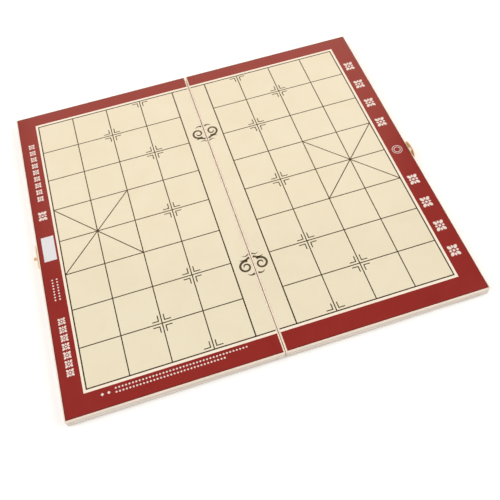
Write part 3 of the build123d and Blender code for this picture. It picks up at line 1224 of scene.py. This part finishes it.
@dataclass
class LeftBoard(PrintedBoard):
    """The left tray's print, with an empty label and rows of lozenges in its red border as well as flowers.

    Attributes:
        label_x: From where to where the label reaches across the border.
        label_y: From where to where it reaches along the border.
        lozenges: Two rows along the near border, two short ones along the outer border, and the larger pair
            that stands before the long rows.
    """

    side: Side = Side.LEFT
    bank: float = 19.6
    band_outside: float = 2.9
    flowers: tuple[OrnamentRow, ...] = (
        OrnamentRow((-179.9, 130.2), (0.0, -8.9), 9, (6.3, 6.2)),
        OrnamentRow((-180.7, 37.1), (0.0, 0.0), 1, (8.0, 11.0)),
        OrnamentRow((-179.9, -83.0), (0.0, -8.4), 7, (6.7, 6.7)),
    )
    label_x: Span = (-186.1, -174.1)
    label_y: Span = (-16.9, 11.2)
    lozenges: tuple[OrnamentRow, ...] = (
        OrnamentRow((-145.3, -158.8), (2.95, 0.0), 40, (2.0, 2.0)),
        OrnamentRow((-145.3, -162.4), (2.95, 0.0), 33, (2.0, 2.0)),
        OrnamentRow((-182.0, -38.5), (0.0, -3.1), 8, (2.0, 2.0)),
        OrnamentRow((-177.8, -38.5), (0.0, -3.1), 8, (2.0, 2.0)),
        OrnamentRow((-157.2, -161.0), (5.6, 0.0), 2, (2.9, 2.9)),
    )

    def make_ornaments(self) -> None:
        """The flowers, the label and the lozenges over the red border."""
        super().make_ornaments()
        label = np.array([self.rectangle(self.label_x, self.label_y)])
        self.add("blank_label", block_print(label, self.overprint), LABEL)
        self.add("lozenge_rows", self.ornaments(Lozenge, self.lozenges), WHITE)


@dataclass
class RightBoard(PrintedBoard):
    """The right tray's print, with a double ring between the large flowers in its red border.

    Attributes:
        ring_centre: The rings' middle.
        ring_radii: The inner radius of each ring.
        ring_width: The width of each ring's line.
    """

    side: Side = Side.RIGHT
    bank: float = 17.75
    band_outside: float = 3.0
    flowers: tuple[OrnamentRow, ...] = (
        OrnamentRow((179.0, 126.0), (0.0, -29.4), 4, (9.6, 11.5)),
        OrnamentRow((179.0, -42.5), (0.0, -28.9), 4, (9.6, 11.5)),
    )
    ring_centre: Point = (179.6, -2.3)
    ring_radii: tuple[float, ...] = (4.75, 2.9)
    ring_width: float = 0.55

    def make_ornaments(self) -> None:
        """The flowers and the double ring over the red border."""
        super().make_ornaments()
        centre = np.array(self.ring_centre)
        rings = [
            ring_print(centre, inner, inner + self.ring_width, self.overprint) for inner in self.ring_radii
        ]
        self.add("double_ring", joined(rings), WHITE)


@dataclass(frozen=True)
class Sweep:
    """A single sweep of the brush out from the fold.

    Attributes:
        start: Where it leaves the fold, along it from the scroll's middle.
        reach: How far out it goes.
        rise: How far along the fold it moves on the way.
        weight: Its half width at the fold.
        end_weight: Its half width at its end, before it falls to a point.
        bow: How far it bows out of a straight line.
    """

    start: float
    reach: float
    rise: float
    weight: float
    end_weight: float
    bow: float = 1.5


@dataclass
class CloudScroll:
    """Half of a cloud scroll in brushed ink, on one side of the fold.

    Attributes:
        board: The print that it belongs to.
        centre_y: The middle of the ornament along the fold.
        up: 1 if its volute curls towards the far end, and -1 if it curls the other way.
        curl_centre: The volute's middle: out from the fold, and along it.
        curl_radius: The volute's radius at its start and at its end.
        curl_turn: The volute's angle at its start and at its end, in degrees.
        curl_weight: The volute's half width at its start and at its end.
        sweeps: The sweeps above and below the volute.
        taper: A stroke falls to its point over the last of this many equal parts.
        point: The share of a stroke's width that is left at its point.
        steps: How many stations the volute has. A sweep has half as many.
    """

    board: PrintedBoard
    centre_y: float
    up: int = 1
    curl_centre: Point = (5.6, 0.6)
    curl_radius: Span = (6.4, 1.5)
    curl_turn: Span = (-118.0, 382.0)
    curl_weight: Span = (1.2, 0.65)
    sweeps: tuple[Sweep, ...] = (
        Sweep(9.4, 6.8, -1.2, 1.05, 0.21),
        Sweep(-8.4, 10.2, 0.8, 1.2, 0.24),
        Sweep(-12.0, 6.4, 0.2, 0.7, 0.14),
    )
    taper: float = 6.0
    point: float = 0.06
    steps: int = 56

    def stroke(self, out: np.ndarray, along: np.ndarray, half_width: np.ndarray) -> Arrays:
        """A stroke that starts at full width and falls to a point at its end.

        Args:
            out: How far each station lies from the sheet's edge.
            along: How far it lies along the fold from the ornament's middle.
            half_width: Half the stroke's width there, before it falls to a point.

        Returns:
            Points and faces.
        """
        x = self.board.seam_x + self.board.side.value * out
        y = self.centre_y + self.up * along
        pressure = np.clip(np.linspace(self.taper, 0, len(out)), self.point, 1)
        return brush_stroke(np.stack([x, y], -1), half_width * pressure, self.board.film)

    def volute(self) -> Arrays:
        """The large curl: a spiral whose radius falls evenly with its angle, out from the fold and inwards.

        Returns:
            Points and faces.
        """
        radius = np.linspace(*self.curl_radius, self.steps)
        angle = np.radians(np.linspace(*self.curl_turn, self.steps))
        out = self.curl_centre[0] + radius * np.cos(angle)
        along = self.curl_centre[1] + radius * np.sin(angle)
        return self.stroke(out, along, np.linspace(*self.curl_weight, self.steps))

    def sweep(self, shape: Sweep) -> Arrays:
        """One sweep: out evenly, moving along by rise * t + bow * sin(pi t), and thinning evenly.

        Args:
            shape: The sweep's sizes.

        Returns:
            Points and faces.
        """
        t = np.linspace(0, 1, self.steps // 2)
        along = shape.start + shape.rise * t + shape.bow * np.sin(np.pi * t)
        return self.stroke(shape.reach * t, along, np.linspace(shape.weight, shape.end_weight, len(t)))

    def arrays(self) -> Arrays:
        """The volute and its sweeps."""
        return joined([self.volute(), *(self.sweep(shape) for shape in self.sweeps)])


# ---------------------------------------------------------------- wood and metal

@dataclass
class Tray:
    """The wooden pieces of one tray, as the model gives them.

    Attributes:
        side: Which tray it is.
    """

    side: Side

    def dress(self) -> None:
        """Gives the panel, the sheet, the walls and the brads their finishes."""
        finishes = {
            "panel": EDGE,
            "print_sheet": PAPER,
            "outer_wall": LONG_WALL_WOOD,
            "hinge_wall": HINGE_WALL_WOOD,
            "near_wall": END_WALL_WOOD,
            "far_wall": END_WALL_WOOD,
            "corner_brads": STEEL,
        }
        for name, finish in finishes.items():
            paint(f"{self.side.word}_{name}", finish)


@dataclass
class Hinges:
    """The two butt hinges with their pins and nails.

    Attributes:
        places: Which end of the fold each one is at.
    """

    places: tuple[str, ...] = ("near", "far")

    def dress(self) -> None:
        """Gives leaves and nails brass, and the pins steel."""
        for place in self.places:
            for side in Side:
                paint(f"{place}_hinge_{side.word}_leaf", BRASS)
            paint(f"{place}_hinge_pin", STEEL)
        for side in Side:
            paint(f"{side.word}_hinge_nails", BRASS)


@dataclass
class Clasp:
    """The catch on the left tray and the hinged flap on the right one.

    Attributes:
        sheet_parts: Its brass parts, by the rest of their names.
    """

    sheet_parts: tuple[str, ...] = ("catch", "catch_nails", "flap", "flap_plate", "flap_plate_nails")

    def dress(self) -> None:
        """Gives every part of the clasp brass, and its pin steel."""
        for part in self.sheet_parts:
            paint(f"clasp_{part}", BRASS)
        paint("clasp_pin", STEEL)


def paint(node: str, finish: Finish) -> None:
    """Puts a finish into every material slot of a CAD node.

    Args:
        node: The node's name.
        finish: Its finish.
    """
    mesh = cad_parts[node].data
    material = finish.material()
    if not mesh.materials:
        mesh.materials.append(material)
    for index in range(len(mesh.materials)):
        mesh.materials[index] = material
    LOG.info("%s: %s", node, finish.name)


# ---------------------------------------------------------------- the studio

@dataclass(frozen=True)
class SoftBox:
    """A square lamp that faces the middle of the board.

    Attributes:
        name: The lamp's name.
        place: Where it stands.
        power: Its power in watts.
        tint: The colour of its light.
        side: The length of its side.
    """

    name: str
    place: Place
    power: float
    tint: Place = (1.0, 1.0, 1.0)
    side: float = 1800.0

    def make(self) -> None:
        """Builds the lamp and turns it to the origin."""
        lamp = bpy.data.lights.new(self.name, "AREA")
        lamp.energy, lamp.size, lamp.color = self.power, self.side * MM, self.tint
        piece = bpy.data.objects.new(self.name, lamp)
        piece.location = Vector(self.place) * MM
        piece.rotation_euler = (-piece.location).to_track_quat("-Z", "Y").to_euler()
        bpy.context.scene.collection.objects.link(piece)


@dataclass
class Studio:
    """A plain pale floor, soft light and the camera.

    Attributes:
        floor_z: The floor's height, which the hinges' knuckles touch.
        eye: The camera's place.
        target: The point that it looks at.
        roll: How far it leans clockwise, in degrees.
        lens: Its focal length.
        sensor: The width of its sensor.
        clip: The nearest and the furthest distance that it sees, in metres.
        floor_size: The floor's width and depth.
        lamps: Soft boxes on both sides, and a weak warm one behind.
        overhead: How bright the surround is overhead, where it is 1 round the horizon.
        overhead_rise: The rise of a look direction, 1 for straight up, over which the surround darkens.
    """

    floor_z: float
    eye: Place = (-65.5, -365.1, 516.4)
    target: Place = (1.5, -67.3, 10.2)
    roll: float = 5.55
    lens: float = 45.4
    sensor: float = 36.0
    clip: Span = (0.01, 50.0)
    floor_size: float = 9000.0
    lamps: tuple[SoftBox, ...] = (
        SoftBox("left_soft_box", (-1700.0, 0.0, 1600.0), 25.0),
        SoftBox("right_soft_box", (1800.0, -500.0, 1500.0), 27.0),
        SoftBox("rear_soft_box", (300.0, 1900.0, 1500.0), 10.5, tint=(1.0, 0.68, 0.5)),
    )
    overhead: float = 0.15
    overhead_rise: Span = (0.4, 0.7)

    def make_floor(self) -> None:
        """A large pale square under the box."""
        half = self.floor_size / 2
        ring = ((-half, -half), (half, -half), (half, half), (-half, half))
        corners = np.array([[x, y, self.floor_z] for x, y in ring])
        make_piece("studio_floor", corners, np.array([[0, 1, 2, 3]]), FloorPaint("studio_white"))

    def make_surround(self) -> None:
        """A white surround that is dark overhead."""
        world = bpy.data.worlds.new("studio_surround")
        world.use_nodes = True
        graph = Graph(world.node_tree)
        direction = graph.add("TexCoord").outputs["Generated"]
        rise = graph.add("SeparateXYZ", {"Vector": direction}).outputs["Z"]
        shade = graph.remap(rise, span=self.overhead_rise, to=(1.0, self.overhead))
        lit = graph.add("Background", {"Color": shade, "Strength": 1.0})
        graph.add("OutputWorld", {"Surface": lit.outputs[0]})
        bpy.context.scene.world = world

    def make_camera(self) -> None:
        """The camera, turned from its look direction by the roll."""
        data = bpy.data.cameras.new("camera")
        data.lens, data.sensor_width = self.lens, self.sensor
        data.clip_start, data.clip_end = self.clip
        camera = bpy.data.objects.new("camera", data)
        camera.location = Vector(self.eye) * MM
        look = (Vector(self.target) - Vector(self.eye)).to_track_quat("-Z", "Y")
        camera.rotation_mode = "QUATERNION"
        camera.rotation_quaternion = look @ Quaternion((0, 0, 1), -np.radians(self.roll))
        bpy.context.scene.collection.objects.link(camera)
        bpy.context.scene.camera = camera

    def make(self) -> None:
        """Builds the whole studio, with colours shown as they are."""
        self.make_floor()
        for lamp in self.lamps:
            lamp.make()
        self.make_surround()
        self.make_camera()
        bpy.context.scene.view_settings.view_transform = "Standard"


def main() -> None:
    """Builds the box's looks in order: the studio, the trays, the metal, and the print on both sheets."""
    logging.basicConfig(level=logging.INFO, format="%(message)s")
    Studio(floor_z=CAD_BOX[0][2] / MM).make()
    for side in Side:
        Tray(side).dress()
    Hinges().dress()
    Clasp().dress()
    for board in (LeftBoard(), RightBoard()):
        board.make_border()
        board.make_grid()
        board.make_palace()
        board.make_marks()
        board.make_ornaments()
        scrolls = [CloudScroll(board, 87.0), CloudScroll(board, -83.0, up=-1)]
        board.add("river_scrolls", joined([scroll.arrays() for scroll in scrolls]), BRUSH)


if __name__ == "__main__":
    main()
